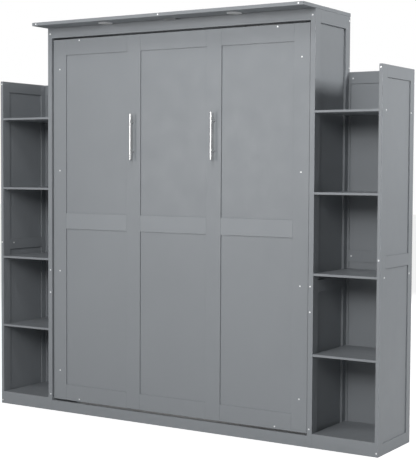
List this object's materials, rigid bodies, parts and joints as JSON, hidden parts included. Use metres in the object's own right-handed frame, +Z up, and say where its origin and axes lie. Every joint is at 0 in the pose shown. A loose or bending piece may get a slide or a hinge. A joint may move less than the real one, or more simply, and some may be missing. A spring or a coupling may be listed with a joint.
{
  "type": "murphy wall bed",
  "caption": "Vertical queen wall bed with a framed fold-down front, bar handles, a lit top overhang, and an open shelf tower on each side.",
  "frame": {"origin": "middle of the bounding box's bottom face, on the floor, between the front overhang and the back", "axes": "+X to the right seen from the front, +Y to the wall behind, +Z up; the front faces -Y"},
  "size_m": [2.4552, 0.5356, 2.23],
  "materials": {
    "grey_paint": "satin",
    "pine": "matte",
    "mattress_cloth": "matte",
    "strap_webbing": "matte",
    "bright_screw": "polished",
    "zinc_steel": "satin",
    "handle_steel": "satin",
    "nylon": "matte",
    "black_enamel": "satin",
    "rod_chrome": "polished",
    "foot_rubber": "matte",
    "light_body": "satin",
    "light_lens": "satin",
    "switch_plastic": "matte"
  },
  "bodies": {
    "root": {"cabinet_screws": "bright_screw", "hardware_screws": "zinc_steel", "header_rail": "grey_paint", "kick_board": "grey_paint", "light_switch": "switch_plastic", "pivot_brackets": "zinc_steel", "pivot_pins": "zinc_steel", "pivot_spacers": "zinc_steel", "puck_lenses": "light_lens", "puck_lights": "light_body", "rear_rail_bottom": "grey_paint", "rear_rail_middle": "grey_paint", "rear_rail_top": "grey_paint", "side_panel_left": "grey_paint", "side_panel_right": "grey_paint", "strut_brackets": "zinc_steel", "top_board": "grey_paint", "tower_back_left": "grey_paint", "tower_back_right": "grey_paint", "tower_bottom_shelf_left": "grey_paint", "tower_bottom_shelf_right": "grey_paint", "tower_kick_boards": "grey_paint", "tower_shelf_1_left": "grey_paint", "tower_shelf_1_right": "grey_paint", "tower_shelf_2_left": "grey_paint", "tower_shelf_2_right": "grey_paint", "tower_shelf_3_left": "grey_paint", "tower_shelf_3_right": "grey_paint", "tower_shelf_4_left": "grey_paint", "tower_shelf_4_right": "grey_paint", "tower_shelf_pins": "zinc_steel", "tower_side_left": "grey_paint", "tower_side_right": "grey_paint"},
    "bed": {"front_board": "grey_paint", "front_stiles": "grey_paint", "front_rails": "grey_paint", "bed_side_rail_left": "grey_paint", "bed_side_rail_right": "grey_paint", "head_board": "grey_paint", "foot_board": "grey_paint", "centre_beam": "pine", "slat_ledgers": "pine", "slats": "pine", "mattress": "mattress_cloth", "mattress_straps": "strap_webbing", "panel_screws": "bright_screw", "handle_bar_left": "handle_steel", "handle_bar_right": "handle_steel", "handle_posts": "handle_steel", "pivot_bushes": "nylon", "bed_pivot_plates": "zinc_steel", "leg_pins": "zinc_steel"},
    "strut_cylinder_left": {"strut_cylinder_left": "black_enamel"},
    "strut_rod_left": {"strut_rod_left": "rod_chrome"},
    "leg_left": {"leg_left": "black_enamel", "leg_foot_left": "foot_rubber"},
    "strut_cylinder_right": {"strut_cylinder_right": "black_enamel"},
    "strut_rod_right": {"strut_rod_right": "rod_chrome"},
    "leg_right": {"leg_right": "black_enamel", "leg_foot_right": "foot_rubber"}
  },
  "joints": [
    {"name": "bed_fold", "type": "hinge", "parent": "root", "child": "bed", "pos_m": [0, -0.0302, 0.3], "axis": [1, 0, 0], "range_deg": [0, 90]},
    {"name": "leg_left_swing", "type": "hinge", "parent": "bed", "child": "leg_left", "pos_m": [-0.69, -0.0702, 2.148], "axis": [0, 0, -1], "range_deg": [0, 90]},
    {"name": "strut_left_swing", "type": "hinge", "parent": "root", "child": "strut_cylinder_left", "pos_m": [-0.812, 0.0298, 0.7], "axis": [1, 0, 0], "range_deg": [0, 10.61]},
    {"name": "strut_left_slide", "type": "slide", "parent": "strut_cylinder_left", "child": "strut_rod_left", "axis": [0, 0.039, 0.9992], "range_m": [0, 0.15]},
    {"name": "leg_right_swing", "type": "hinge", "parent": "bed", "child": "leg_right", "pos_m": [0.69, -0.0702, 2.148], "axis": [0, 0, 1], "range_deg": [0, 90]},
    {"name": "strut_right_swing", "type": "hinge", "parent": "root", "child": "strut_cylinder_right", "pos_m": [0.812, 0.0298, 0.7], "axis": [1, 0, 0], "range_deg": [0, 10.61]},
    {"name": "strut_right_slide", "type": "slide", "parent": "strut_cylinder_right", "child": "strut_rod_right", "axis": [0, 0.039, 0.9992], "range_m": [0, 0.15]}
  ],
  "couplings": [
    {"joint": "strut_left_swing", "follows": "bed_fold", "ratio": 0.11786},
    {"joint": "strut_left_slide", "follows": "bed_fold", "m_per_rad": 0.095181},
    {"joint": "strut_right_swing", "follows": "bed_fold", "ratio": 0.11786},
    {"joint": "strut_right_slide", "follows": "bed_fold", "m_per_rad": 0.095181}
  ]
}
